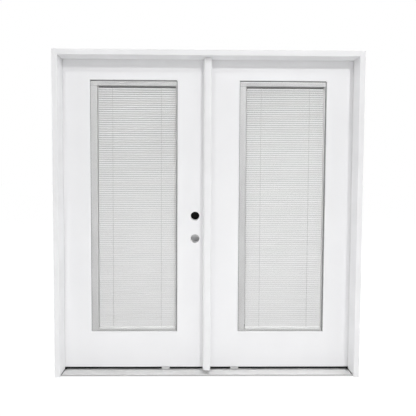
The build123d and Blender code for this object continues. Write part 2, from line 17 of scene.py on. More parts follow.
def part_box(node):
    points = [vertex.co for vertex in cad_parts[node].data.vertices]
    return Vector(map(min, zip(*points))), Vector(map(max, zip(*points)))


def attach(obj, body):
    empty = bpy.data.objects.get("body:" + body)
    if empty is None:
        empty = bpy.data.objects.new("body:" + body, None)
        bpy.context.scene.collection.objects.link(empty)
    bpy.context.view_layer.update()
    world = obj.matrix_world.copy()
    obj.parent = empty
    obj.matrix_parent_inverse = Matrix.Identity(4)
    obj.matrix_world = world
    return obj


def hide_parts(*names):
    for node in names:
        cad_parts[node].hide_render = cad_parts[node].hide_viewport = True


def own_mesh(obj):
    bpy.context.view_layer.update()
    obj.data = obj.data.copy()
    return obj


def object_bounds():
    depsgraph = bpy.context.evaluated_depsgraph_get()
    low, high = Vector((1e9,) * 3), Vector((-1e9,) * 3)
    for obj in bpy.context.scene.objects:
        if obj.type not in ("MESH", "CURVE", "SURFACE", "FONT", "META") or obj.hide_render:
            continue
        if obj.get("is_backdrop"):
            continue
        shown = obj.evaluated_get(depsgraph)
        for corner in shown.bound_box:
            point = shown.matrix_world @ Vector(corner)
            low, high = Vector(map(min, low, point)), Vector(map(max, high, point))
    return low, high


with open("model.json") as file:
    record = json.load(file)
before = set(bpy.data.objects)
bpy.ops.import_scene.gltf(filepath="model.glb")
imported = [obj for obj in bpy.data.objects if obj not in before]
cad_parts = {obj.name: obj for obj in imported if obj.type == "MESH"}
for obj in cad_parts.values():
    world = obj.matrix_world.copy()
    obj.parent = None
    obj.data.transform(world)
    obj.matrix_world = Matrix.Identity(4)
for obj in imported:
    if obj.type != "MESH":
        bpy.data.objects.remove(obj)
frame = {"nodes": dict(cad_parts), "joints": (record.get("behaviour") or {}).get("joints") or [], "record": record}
cad_low, cad_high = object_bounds()
scene = bpy.context.scene
scene.view_settings.view_transform = "Standard"
print("solids", len(frame["nodes"]), "box", [round(v, 3) for v in cad_high - cad_low])

# %% [markdown]
# Every finish starts from the same few moves: a cloudy pattern in the door's own metres,
# a range of shades or of roughness driven by it, and a shallow relief.
# Each move is one small helper, so that a finish below reads like a recipe.
# The patterns follow object coordinates, because the solids have no unwrapped surface.
# Cloudy noise stays mostly between two values, which become the ends of each range.

# %% Helpers for finishes
noise_low = 0.3
noise_high = 0.7


def start_finish(name):
    """A new material, its node tree and its main shader."""
    finish = bpy.data.materials.new(name)
    finish.use_nodes = True
    return finish, finish.node_tree, finish.node_tree.nodes["Principled BSDF"]


def grain(tree, fineness, stretch=(1, 1, 1), detail=3):
    """Cloudy noise with about that many features in a metre, finer where it is stretched."""
    place = tree.nodes.new("ShaderNodeTexCoord")
    warp = tree.nodes.new("ShaderNodeMapping")
    noise = tree.nodes.new("ShaderNodeTexNoise")
    warp.inputs["Scale"].default_value = stretch
    noise.inputs["Scale"].default_value = fineness
    noise.inputs["Detail"].default_value = detail
    tree.links.new(place.outputs["Object"], warp.inputs["Vector"])
    tree.links.new(warp.outputs["Vector"], noise.inputs["Vector"])
    return noise.outputs["Fac"]


def shades(tree, pattern, dark, light):
    """A colour between dark and light, by the pattern."""
    ramp = tree.nodes.new("ShaderNodeValToRGB")
    ramp.color_ramp.elements[0].position = noise_low
    ramp.color_ramp.elements[1].position = noise_high
    ramp.color_ramp.elements[0].color = (*dark, 1)
    ramp.color_ramp.elements[1].color = (*light, 1)
    tree.links.new(pattern, ramp.inputs["Fac"])
    return ramp.outputs["Color"]


def between(tree, pattern, low, high):
    """A number between low and high, by the pattern."""
    span = tree.nodes.new("ShaderNodeMapRange")
    span.inputs["From Min"].default_value = noise_low
    span.inputs["From Max"].default_value = noise_high
    span.inputs["To Min"].default_value = low
    span.inputs["To Max"].default_value = high
    tree.links.new(pattern, span.inputs["Value"])
    return span.outputs["Result"]


def eased_edges(tree, radius):
    """A surface direction that turns round sharp edges, as an eased edge does."""
    bevel = tree.nodes.new("ShaderNodeBevel")
    bevel.samples = 4
    bevel.inputs["Radius"].default_value = radius
    return bevel.outputs["Normal"]


def relief(tree, pattern, depth, under=None):
    """A shallow relief of that depth in metres, over an eased edge if there is one."""
    bump = tree.nodes.new("ShaderNodeBump")
    bump.inputs["Distance"].default_value = depth
    tree.links.new(pattern, bump.inputs["Height"])
    if under is not None:
        tree.links.new(under, bump.inputs["Normal"])
    return bump.outputs["Normal"]


def place_in_door(tree, axis):
    """Where a point of the door is along one axis."""
    place = tree.nodes.new("ShaderNodeTexCoord")
    split = tree.nodes.new("ShaderNodeSeparateXYZ")
    tree.links.new(place.outputs["Object"], split.inputs["Vector"])
    return split.outputs[axis]


def depth_in_door(tree):
    """Where a point of the door is from front to back."""
    return place_in_door(tree, "Y")


def height_in_door(tree):
    """How high a point of the door is."""
    return place_in_door(tree, "Z")


def darken(finish, measure, first, last, shares):
    """Darkens a finish between two values of a measure, from one share of its shade to another.

    The measure is a function that adds its nodes to the finish and returns their output.
    """
    tree = finish.node_tree
    colour = tree.nodes["Principled BSDF"].inputs["Base Color"]
    span = tree.nodes.new("ShaderNodeMapRange")
    worn = tree.nodes.new("ShaderNodeVectorMath")
    worn.operation = "SCALE"
    span.inputs["From Min"].default_value = first
    span.inputs["From Max"].default_value = last
    span.inputs["To Min"].default_value = shares[0]
    span.inputs["To Max"].default_value = shares[1]
    tree.links.new(measure(tree), span.inputs["Value"])
    tree.links.new(colour.links[0].from_socket, worn.inputs["Vector"])
    tree.links.new(span.outputs["Result"], worn.inputs["Scale"])
    tree.links.new(worn.outputs["Vector"], colour)


def coat(name, dark, light, rough, clouds, skin, depth, edge, mirror=0.5):
    """A smooth coating: clouds of shade, a fine skin for gloss and relief, eased edges."""
    finish, tree, shader = start_finish(name)
    shader.inputs["Specular IOR Level"].default_value = mirror
    tree.links.new(shades(tree, clouds(tree), dark, light), shader.inputs["Base Color"])
    fine = skin(tree)
    tree.links.new(between(tree, fine, *rough), shader.inputs["Roughness"])
    tree.links.new(relief(tree, fine, depth, eased_edges(tree, edge)), shader.inputs["Normal"])
    return finish


print("helpers ready")

# %% [markdown]
# The frame and the astragal are a composite profile, painted white in the works.
# Spray paint has a faint stipple and a satin gloss that is never quite even.
# The leaves are smooth fibreglass, a touch lighter, with the slow waviness of a moulded skin.


# %% White coatings
def white(level, warmth=0.0):
    """A neutral colour of that level; warmth takes a little blue out, or adds some below zero."""
    return (level, level, level * (1 - warmth))


finishes = {}
finishes["frame_paint"] = coat(
    "satin frame paint",
    white(0.80, -0.010),
    white(0.84, -0.012),
    (0.48, 0.60),
    clouds=lambda tree: grain(tree, 5, detail=2),
    skin=lambda tree: grain(tree, 900),
    depth=0.00006,
    edge=0.0012,
)
finishes["leaf_skin"] = coat(
    "smooth fibreglass skin",
    white(0.825, -0.014),
    white(0.85, -0.012),
    (0.48, 0.60),
    clouds=lambda tree: grain(tree, 3, detail=2),
    skin=lambda tree: grain(tree, 520, detail=4),
    depth=0.00005,
    edge=0.0010,
)
finishes["white_plastic"] = coat(
    "white moulded plastic",
    white(0.78, 0.01),
    white(0.83, 0.005),
    (0.28, 0.45),
    clouds=lambda tree: grain(tree, 14, detail=2),
    skin=lambda tree: grain(tree, 1400),
    depth=0.00004,
    edge=0.0008,
)
print("white coatings", sorted(finishes))

# %% [markdown]
# The blinds are thin aluminium strips with dull baked enamel, and so are their rails.
# Their shade is uneven along the strips, from a pattern stretched that way.
# The upper edge of each strip, in the recess behind the lip of the next one, is painted darker: painted shade.
# Each strip carries its own measure of height, so that this painted shade follows it.
# The upper part of a blind is painted a little darker than the lower part, as a painted reflection of the darker
# room above in the glass.
# A dark line is painted at the top of the side channel, under the head rail: painted shade in the joint between
# them.

# %% Enamel of the blinds
# The head rail's lower level is painted shade from the lip of the leaf above it.
rail_levels = {"blind_rail_paint": 0.545, "shaded_head_rail_paint": 0.495, "bottom_rail_paint": 0.80}
rail_shade_below = 0.02
rail_shade_above = 0.03
enamel_mirror = 0.25
# Painted shade: a dark line at the top of the side channel, under the head rail.
shaded_joint_drop = 0.004
shaded_joint_blur = 0.001
shaded_joint_share = 0.7
# Painted shade on the upper edge of each strip, behind the lip of the next one.
recess_shade_starts = 0.70
recess_shade_covers = 0.80
recess_shade_share = 0.10
# Painted reflection: the upper part of each blind is darker.
top_shade_starts = 0.9
top_shade_ends = 1.75
top_shade_share = 0.86

for name, level in rail_levels.items():
    finishes[name] = coat(
        name.replace("_", " "),
        white(level - rail_shade_below),
        white(level + rail_shade_above),
        (0.42, 0.54),
        clouds=lambda tree: grain(tree, 8, stretch=(1, 1, 0.4)),
        skin=lambda tree: grain(tree, 700),
        depth=0.00003,
        edge=0.0022,
        mirror=enamel_mirror,
    )
finishes["slat_paint"] = coat(
    "slat enamel",
    white(0.68),
    white(0.73),
    (0.40, 0.52),
    clouds=lambda tree: grain(tree, 4, stretch=(1, 1, 18), detail=4),
    skin=lambda tree: grain(tree, 500, stretch=(0.1, 1, 1)),
    depth=0.00002,
    edge=0.0003,
    mirror=enamel_mirror,
)


def height_on_slat(tree):
    """How high a point is on its strip, from zero at the lower edge to one at the upper edge."""
    mark = tree.nodes.new("ShaderNodeAttribute")
    mark.attribute_name = "height_on_slat"
    return mark.outputs["Fac"]


# Paints the shade under the head rail as a dark line at the top of the side channel.
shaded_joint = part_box("left_side_channel")[1].z - shaded_joint_drop
darken(
    finishes["blind_rail_paint"],
    height_in_door,
    shaded_joint,
    shaded_joint + shaded_joint_blur,
    (1.0, shaded_joint_share),
)
# Painted shade in the recess behind each strip's lip.
darken(finishes["slat_paint"], height_on_slat, recess_shade_starts, recess_shade_covers, (1.0, recess_shade_share))
# Painted reflection: darker towards the top of the blind.
darken(finishes["slat_paint"], height_in_door, top_shade_starts, top_shade_ends, (1.0, top_shade_share))
# The cords are painted dark grey: painted shade, for the dark lines that the cords make across the strips.
finishes["shaded_ladder_cord"] = coat(
    "braided ladder cord",
    (0.26, 0.26, 0.255),
    (0.34, 0.34, 0.335),
    (0.75, 0.95),
    clouds=lambda tree: grain(tree, 60),
    skin=lambda tree: grain(tree, 1800, stretch=(1, 1, 0.5)),
    depth=0.00015,
    edge=0.0002,
)
print("enamels ready")

# %% [markdown]
# Rubber, vinyl and plastic are matt and pick up dust, so their shade varies more than paint does.
# The vinyl-covered weatherstrip has fine wrinkles across its length.
# The base under the sill is a wood-plastic composite with visible flecks.

# %% Rubber, vinyl, plastic and composite
# The sealant's grey is partly painted shade along the lip of each lite, and the light stop rubber on the gaskets
# is painted shade in the gaps of the blinds.
soft_levels = {"light_stop_rubber": 0.10, "sealant": 0.20}
soft_shade_above = 0.06

finishes["black_rubber"] = coat(
    "black sweep rubber",
    (0.003, 0.003, 0.003),
    (0.009, 0.009, 0.009),
    (0.55, 0.8),
    clouds=lambda tree: grain(tree, 40, stretch=(0.3, 1, 1)),
    skin=lambda tree: grain(tree, 900),
    depth=0.00012,
    edge=0.0006,
    mirror=0.06,
)
finishes["seal_foam"] = coat(
    "vinyl covered weatherstrip",
    (0.70, 0.70, 0.695),
    (0.78, 0.78, 0.775),
    (0.5, 0.75),
    clouds=lambda tree: grain(tree, 25),
    skin=lambda tree: grain(tree, 420, stretch=(0.5, 1, 0.5), detail=5),
    depth=0.0004,
    edge=0.0012,
)
finishes["grey_plastic"] = coat(
    "grey moulded plastic",
    white(0.54),
    white(0.62),
    (0.45, 0.65),
    clouds=lambda tree: grain(tree, 45),
    skin=lambda tree: grain(tree, 1600),
    depth=0.00008,
    edge=0.0007,
)
finishes["black_plastic"] = coat(
    "black moulded plastic",
    (0.004, 0.004, 0.004),
    (0.010, 0.010, 0.010),
    (0.3, 0.5),
    clouds=lambda tree: grain(tree, 45),
    skin=lambda tree: grain(tree, 1600),
    depth=0.00008,
    edge=0.0007,
    mirror=0.08,
)
finishes["base_composite"] = coat(
    "flecked sill composite",
    (0.30, 0.28, 0.25),
    (0.52, 0.50, 0.46),
    (0.65, 0.9),
    clouds=lambda tree: grain(tree, 320, stretch=(0.25, 1, 1), detail=5),
    skin=lambda tree: grain(tree, 600),
    depth=0.0003,
    edge=0.0008,
)
for name, level in soft_levels.items():
    finishes[name] = coat(
        name.replace("_", " "),
        white(level),
        white(level + soft_shade_above),
        (0.6, 0.85),
        clouds=lambda tree: grain(tree, 30),
        skin=lambda tree: grain(tree, 800),
        depth=0.0001,
        edge=0.0004,
    )
print("soft and dark finishes ready")

# %% [markdown]
# Bare metal shows how it was made. Sill and spacer bar are extruded, so fine lines run along them.
# The hinges, strikes and bolts are rolled steel, brushed and zinc plated.
# The lines are noise stretched far along one direction; they drive shade, gloss and relief alike.
# The front of the sill's nose is painted darker than the tread behind it: painted shade at the foot of the door.

# %% Metals
line_fineness = 260
along_x = (0.02, 3.0, 3.0)
along_z = (3.0, 3.0, 0.05)
# Painted shade on the front of the sill's nose.
nose_shade_full = 0.0002
nose_shade_ends = 0.0016
nose_shade_share = 0.5


def drawn_metal(name, dark, light, rough, stretch, depth, edge):
    """Bare metal with fine lines along the direction in which the pattern is stretched."""
    finish, tree, shader = start_finish(name)
    shader.inputs["Metallic"].default_value = 1.0
    lines = grain(tree, line_fineness, stretch=stretch, detail=5)
    tree.links.new(shades(tree, lines, dark, light), shader.inputs["Base Color"])
    tree.links.new(between(tree, lines, *rough), shader.inputs["Roughness"])
    tree.links.new(relief(tree, lines, depth, eased_edges(tree, edge)), shader.inputs["Normal"])
    return finish


finishes["sill_aluminium"] = drawn_metal(
    "mill finish sill",
    (0.80, 0.80, 0.795),
    (0.90, 0.90, 0.895),
    (0.30, 0.46),
    along_x,
    depth=0.00008,
    edge=0.0008,
)
# Paints shade on the front of the sill's nose, darkest at its front edge.
nose_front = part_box("sill")[0].y
darken(
    finishes["sill_aluminium"],
    depth_in_door,
    nose_front + nose_shade_full,
    nose_front + nose_shade_ends,
    (nose_shade_share, 1.0),
)
finishes["spacer_metal"] = drawn_metal(
    "dull spacer bar",
    (0.62, 0.62, 0.62),
    (0.70, 0.70, 0.70),
    (0.45, 0.6),
    along_z,
    depth=0.00005,
    edge=0.0006,
)
finishes["steel"] = drawn_metal(
    "zinc plated steel",
    (0.52, 0.52, 0.50),
    (0.68, 0.68, 0.66),
    (0.28, 0.42),
    along_z,
    depth=0.00004,
    edge=0.0005,
)
print("metals ready")

# %% [markdown]
# Float glass is clear, all but neutral in colour, and it mirrors a little of the room.
# A real pane lets light through to the blind, but a path tracer takes glass as shade.
# So shadow rays meet a plain tinted film instead, which lets the lamps reach the slats.

# %% Glass
glass_bends = 1.5
glass_tint = white(0.964)
glass_clearest = white(0.99)
glass_haze = (0.0, 0.012)


def pane_glass(tint):
    """Clear float glass that lets the lamps shine on what is behind it."""
    finish, tree, shader = start_finish("clear float glass")
    shader.inputs["IOR"].default_value = glass_bends
    shader.inputs["Transmission Weight"].default_value = 1.0
    tree.links.new(shades(tree, grain(tree, 2), tint, glass_clearest), shader.inputs["Base Color"])
    tree.links.new(between(tree, grain(tree, 6), *glass_haze), shader.inputs["Roughness"])
    film = tree.nodes.new("ShaderNodeBsdfTransparent")
    film.inputs["Color"].default_value = (*tint, 1)
    rays = tree.nodes.new("ShaderNodeLightPath")
    choose = tree.nodes.new("ShaderNodeMixShader")
    tree.links.new(rays.outputs["Is Shadow Ray"], choose.inputs["Fac"])
    tree.links.new(shader.outputs["BSDF"], choose.inputs[1])
    tree.links.new(film.outputs["BSDF"], choose.inputs[2])
    tree.links.new(choose.outputs["Shader"], tree.nodes["Material Output"].inputs["Surface"])
    return finish


finishes["pane_glass"] = pane_glass(glass_tint)
print("glass ready")

# %% [markdown]
# The record names a finish for every solid, so one loop dresses them all.
# The head rail of a blind is painted a shade darker than its side channel, as painted shade from the lip of the
# leaf above it, and the bottom rail is lighter.

# %% Dress the solids
own_finishes = {"headrail": "shaded_head_rail_paint", "bottom_rail": "bottom_rail_paint"}
for part in frame["record"]["subparts"]:
    solid = frame["nodes"][part["node"]]
    member = part["node"].split("_", 1)[-1]
    solid.data.materials.clear()
    solid.data.materials.append(finishes[own_finishes.get(member, part["material_slot"])])

# %% [markdown]
# New pieces are built as plain meshes in the door's own frame, so they need no moving afterwards.
# A shape is filled with corners and faces, becomes a mesh and then a piece that rides on one body.


# %% Helpers for new pieces
def add_piece(name, mesh, body, slot, *looks):
    """Links a mesh as a piece of the door, on that body; its looks are finishes by name."""
    piece = bpy.data.objects.new(name, mesh)
    scene.collection.objects.link(piece)
    for look in looks:
        mesh.materials.append(finishes[look])
    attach(piece, body)
    return piece


def mesh_of(name, build):
    """A mesh that the function build fills, with outward normals."""
    shape = bmesh.new()
    build(shape)
    bmesh.ops.recalc_face_normals(shape, faces=shape.faces)
    mesh = bpy.data.meshes.new(name)
    shape.to_mesh(mesh)
    shape.free()
    return mesh


def add_box(shape, low, high):
    """A box between two opposite corners."""
    made = bmesh.ops.create_cube(shape, size=1.0)
    for corner in made["verts"]:
        for axis in range(3):
            corner.co[axis] = low[axis] if corner.co[axis] < 0 else high[axis]


def bridge(shape, first, second):
    """The faces of a closed band between two loops of as many corners."""
    band = []
    for number in range(len(first)):
        after = (number + 1) % len(first)
        band.append(shape.faces.new((first[number], first[after], second[after], second[number])))
    return band


def joint(name):
    """A joint of the door by its name."""
    return next(each for each in frame["joints"] if each["name"] == name)


sides = ("left", "right")

# %% [markdown]
# A pane that lies on the spacer would share a face with it, which a path tracer draws as a stain.
# So each pane is drawn again as a plain sheet, a hair thinner than the solid and clear of its seat.

# %% Panes
pane_ease = Vector((0.0003, 0.0003, 0.0003))

for side in sides:
    for node in (f"{side}_outer_glass", f"{side}_inner_glass"):
        low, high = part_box(node)
        name = f"{node}_pane"
        mesh = mesh_of(name, lambda shape: add_box(shape, low + pane_ease, high - pane_ease))
        pane = add_piece(name, mesh, f"{side}_door", "pane_glass", "pane_glass")
        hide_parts(node)
print("panes", len(sides) * 2, "of", [round(v, 4) for v in high - low])

# %% [markdown]
# A blind hangs shut between the panes: crowned strips, tilted so that each laps the next,
# carried by two ladders of thin cord. The solids have flat facets. Here every strip gets
# its true curve, rounded ends and a tilt that differs a little from its neighbour's,
# which makes the fine bands of the picture.
# One mesh holds all strips of a blind, because they gather together when it is lifted.

# %% Slats and ladder cords
slat_width = 0.016
slat_crown = 0.0015
slat_thickness = 0.0004
slat_tilt = math.radians(70)
slat_pitch = 0.0132
slat_drop = 0.008
tilt_play = math.radians(1.0)
end_radius = 0.0015
end_shares = (0.0, 0.12, 0.45, 1.0)
across_steps = 12
cord_offset = 0.149
cord_radius = 0.0007
cord_sides = 6
crease_angle = math.radians(40)


def slat_rings(low_x, high_x):
    """Places along a slat and the half width there, with rounded corners at both ends."""
    rings = []
    for share in end_shares:
        inset = share * end_radius
        corner = end_radius - math.sqrt(end_radius**2 - (end_radius - inset) ** 2)
        rings.append((inset, slat_width / 2 - corner))
    ends = [(low_x + inset, half) for inset, half in rings]
    return ends + [(high_x - inset, half) for inset, half in reversed(rings)]


def add_slat(shape, low_x, high_x, middle, tilt):
    """One crowned strip; middle is its (y, z) and tilt the angle of its width above the level."""
    loops = []
    layers = shape.verts.layers.float
    mark = layers.get("height_on_slat") or layers.new("height_on_slat")
    for x, half in slat_rings(low_x, high_x):
        outline = []
        for skin, order in ((0.0, 1), (slat_thickness, -1)):
            for step in range(across_steps + 1):
                share = order * (2 * step / across_steps - 1)
                u = share * half
                v = slat_crown * (1 - (u / (slat_width / 2)) ** 2) + skin
                y = middle[0] + u * math.cos(tilt) - v * math.sin(tilt)
                z = middle[1] + u * math.sin(tilt) + v * math.cos(tilt)
                corner = shape.verts.new((x, y, z))
                corner[mark] = 0.5 + u / slat_width
                outline.append(corner)
        loops.append(outline)
    for first, second in zip(loops, loops[1:]):
        bridge(shape, first, second)
    shape.faces.new(loops[0])
    shape.faces.new(loops[-1])


def add_cord(shape, x, y, low_z, high_z):
    """An upright cord of the ladder."""
    rings = []
    for z in (low_z, high_z):
        ring = []
        for number in range(cord_sides):
            turn = 2 * math.pi * number / cord_sides
            across = cord_radius * math.cos(turn)
            inward = cord_radius * math.sin(turn)
            ring.append(shape.verts.new((x + across, y + inward, z)))
        rings.append(ring)
    walls = bridge(shape, *rings)
    for face in walls + [shape.faces.new(ring) for ring in rings]:
        face.material_index = 1


def build_blind(side):
    """All slats and ladder cords of one leaf's blind, as one piece."""
    low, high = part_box(f"{side}_slats")
    pane_low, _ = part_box(f"{side}_outer_glass")
    _, pane_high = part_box(f"{side}_inner_glass")
    middle_y = (pane_low.y + pane_high.y) / 2
    half_rise = slat_width / 2 * math.sin(slat_tilt)
    half_run = slat_width / 2 * math.cos(slat_tilt)
    zone = high.z - slat_drop - low.z - 2 * half_rise
    count = int(zone / slat_pitch) + 1
    step = zone / (count - 1)
    play = random.Random(side)

    def build(shape):
        for number in range(count):
            z = high.z - slat_drop - half_rise - number * step
            tilt = slat_tilt + play.uniform(-tilt_play, tilt_play)
            add_slat(shape, low.x, high.x, (middle_y, z), tilt)
        middle_x = (low.x + high.x) / 2
        for x in (middle_x - cord_offset, middle_x + cord_offset):
            for y in (middle_y - half_run - 2 * cord_radius, middle_y + half_run + cord_radius):
                add_cord(shape, x, y, low.z, high.z)

    name = f"{side}_blind"
    mesh = mesh_of(name, build)
    for face in mesh.polygons:
        face.use_smooth = True
    mesh.set_sharp_from_angle(angle=crease_angle)
    blind = add_piece(name, mesh, f"{side}_door", "slat_paint", "slat_paint", "shaded_ladder_cord")
    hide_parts(f"{side}_slats")
    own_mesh(blind)


for side in sides:
    build_blind(side)

# %% [markdown]
# Behind the head and the foot of the slats a dark gasket lies on the inner pane. Its dark colour is painted shade:
# it stops light from showing under the head rail and below the bottom rail, so that these gaps show shade.
# Pale guides stand behind the ends of the strips, and one more lines the spacer at the right: pale sheets of
# painted light, which make the gaps at the ends of the strips light.
# In front, a grey bead lies in the corner between the outer pane and the lip of the leaf: partly sealant, partly
# painted shade along the lip. It is a picture frame with its own width on the left, at the foot, on the right and
# at the top. At the top and on the right two more grey strips lie on the bevel of the lip: painted shade on the
# sides of the lip that face away from the lamps.

# %% Gaskets, guides and sealant round the panes, with painted shade and painted light
gasket_side_reach = 0.0018
gasket_foot_reach = 0.012
gasket_foot_lap = 0.006
gasket_top_lap = 0.022
gasket_off_glass = 0.0002
gasket_thickness = 0.0009
guide_left_reach = 0.0042
guide_right_reach = 0.0018
guide_lap = 0.006
guide_thickness = 0.0005
pane_lap = 0.010
# The bead's widths on the glass are partly sealant, partly painted shade; the strips on the top and right bevels
# are painted shade.
bead_and_shade_on_glass = (0.0026, 0.0004, 0.0030, 0.0012)
shade_strip_on_top_lip = 0.0036
shade_strip_on_right_lip = 0.0030
bead_thickness = 0.0003
lip_slope = 0.8


def grown(rectangle, reaches):
    """A rectangle (left, foot, right, top) with each side moved outward by its reach."""
    x0, z0, x1, z1 = rectangle
    left, foot, right, top = reaches
    return (x0 - left, z0 - foot, x1 + right, z1 + top)


def add_ring(shape, section):
    """A picture frame; each corner of its section is a rectangle and a depth y."""
    loops = []
    for (x0, z0, x1, z1), y in section:
        corners = ((x0, z0), (x1, z0), (x1, z1), (x0, z1))
        loops.append([shape.verts.new((x, y, z)) for x, z in corners])
    for loop, following in zip(loops, loops[1:] + loops[:1]):
        bridge(shape, loop, following)


def add_strip(shape, ends):
    """A straight strip between two ends, each a list of corners in the same order."""
    ends = [[shape.verts.new(corner) for corner in end] for end in ends]
    bridge(shape, *ends)
    for end in ends:
        shape.faces.new(end)


def add_gasket_shade(shape, field, front, rear):
    """The dark gasket on the inner pane, painted shade along the foot and the head of the slats."""
    left, foot, right, top = grown(field, (gasket_side_reach, 0, gasket_side_reach, 0))
    add_box(shape, (left, front, foot - gasket_foot_reach), (right, rear, foot + gasket_foot_lap))
    add_box(shape, (left, front, top - gasket_top_lap), (right, rear, top))


def add_painted_light_guides(shape, field, pane_back, front, rear):
    """The pale guides at the ends of the slats, painted light: two on the inner pane and one on the spacer."""
    left, foot, right, top = field
    foot += gasket_foot_lap + gasket_off_glass
    top -= gasket_top_lap + gasket_off_glass
    edge = right + guide_right_reach
    add_box(shape, (left - guide_left_reach, front, foot), (left + guide_lap, rear, top))
    add_box(shape, (right - guide_lap, front, foot), (edge, rear, top))
    lining_front = pane_back + gasket_off_glass
    lining_back = front - gasket_off_glass
    add_box(shape, (edge - guide_thickness, lining_front, foot), (edge, lining_back, top))


def lip_profile(edge, reach, front):
    """The section of a painted shade strip on the bevel: depths y and places outward from the lite's edge."""
    raised = front - reach * lip_slope
    outside = edge + reach
    skin = bead_thickness
    return ((front, edge), (raised, outside), (raised - skin, outside), (front - skin, edge))


def add_bead_and_shade(shape, lite, on_glass, pane_y):
    """The sealant and painted shade round one lite: a flat ring on the pane and a painted shade strip on two of
    the bevels.
    """
    front = pane_y - bead_thickness
    add_ring(shape, ((lite, pane_y), (on_glass, pane_y), (on_glass, front), (lite, front)))
    left, foot, right, top = lite
    profile = lip_profile(top, shade_strip_on_top_lip, front)
    add_strip(shape, [[(x, y, z) for y, z in profile] for x in (left, right)])
    profile = lip_profile(right, shade_strip_on_right_lip, front)
    add_strip(shape, [[(x, y, z) for y, x in profile] for z in (foot, top)])


for side in sides:
    low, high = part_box(f"{side}_slats")
    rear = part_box(f"{side}_inner_glass")[0].y - gasket_off_glass
    front = rear - gasket_thickness
    field = (low.x, low.z, high.x, high.z)
    body = f"{side}_door"
    # The dark gasket's colour is painted shade in the gaps at the head and foot of the slats.
    name = f"{side}_edge_gasket"
    mesh = mesh_of(name, lambda shape: add_gasket_shade(shape, field, front, rear))
    add_piece(name, mesh, body, "black_rubber", "light_stop_rubber")
    low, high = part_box(f"{side}_outer_glass")
    # The pale guides and the lining of the spacer are painted light in the gaps at the ends of the strips.
    name = f"{side}_slat_guides"
    mesh = mesh_of(name, lambda shape: add_painted_light_guides(shape, field, high.y, front, rear))
    add_piece(name, mesh, body, "white_plastic", "white_plastic")
    lite = grown((low.x, low.z, high.x, high.z), [-pane_lap] * 4)
    on_glass = grown(lite, [-width for width in bead_and_shade_on_glass])
    # The grey bead is partly sealant and partly painted shade along the lip.
    name = f"{side}_sealant_bead"
    mesh = mesh_of(name, lambda shape: add_bead_and_shade(shape, lite, on_glass, low.y))
    add_piece(name, mesh, body, "black_rubber", "sealant")
lite_width, lite_height = lite[2] - lite[0], lite[3] - lite[1]
print("gaskets, guides and beads", len(sides) * 3)
print("lite", round(lite_width, 3), "by", round(lite_height, 3))

# %% [markdown]
# Each end of the sill meets its jamb in a seam that is run with dark sealant,
# and the open end of the nose is plugged with it.
# Behind the seam a black pad of foam closes the corner under the leaf.
# All of them are pieces of the frame, made for the right end and mirrored for the left one.

# %% Ends of the sill
jamb_inner = 0.88275
seam_leg = 0.004
nose_depth = 0.005
end_gap = 0.0016
pad_width = 0.0086
pad_top = 0.0095
pad_depth = 0.0070
leaf_over_tread = 0.0103
skin_gap = 0.0002

sill_low, sill_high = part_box("sill")
leaf_low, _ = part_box("left_slab")
tread = leaf_low.z - leaf_over_tread
face = jamb_inner - skin_gap
plug_front = sill_low.y + skin_gap
nose_back = sill_low.y + nose_depth + skin_gap
pad_back = leaf_low.y - skin_gap
pad_front = pad_back - pad_depth


def upright_box(inner, low, high):
    """The section of a box against the jamb, from its inner side and its foot and top."""
    return ((face, low), (inner, low), (inner, high), (face, high))


def add_run(shape, way, profile, front, back):
    """A strip along y with that section (x, z), at the right end or, mirrored, at the left."""
    add_strip(shape, [[(way * x, y, z) for x, z in profile] for y in (front, back)])


def add_seam(shape, way):
    """The sealant at one end of the sill: a fillet along the tread and a plug in the nose."""
    fillet = ((face, tread), (face - seam_leg, tread), (face, tread + seam_leg))
    add_run(shape, way, fillet, nose_back, pad_front)
    plug = upright_box(face - end_gap + skin_gap, sill_low.z, sill_high.z)
    add_run(shape, way, plug, plug_front, nose_back)


def add_pad(shape, way):
    """The foam pad in one corner, between the jamb, the tread and the leaf."""
    pad = upright_box(face - pad_width, tread, tread + pad_top)
    add_run(shape, way, pad, pad_front + skin_gap, pad_back)


for side, way in (("left", -1), ("right", 1)):
    seam = mesh_of(f"{side}_sill_seam", lambda shape: add_seam(shape, way))
    add_piece(f"{side}_sill_seam", seam, "frame", "black_rubber", "light_stop_rubber")
    pad = mesh_of(f"{side}_corner_pad", lambda shape: add_pad(shape, way))
    add_piece(f"{side}_corner_pad", pad, "frame", "black_rubber", "black_rubber")
print("tread at", round(tread, 4), "pads", round(pad_front, 4), "to", round(pad_back, 4))

# %% [markdown]
# Screws hold the hinge leaves and the strike plates. They are countersunk,
# so only a low crowned head with a cross recess shows.

# %% Screws
screw_radius = 0.0036
screw_crown = 0.0003
crown_share = 0.8
recess_reach = 0.0019
recess_half = 0.00045
recess_depth = 0.0011
head_steps = 20


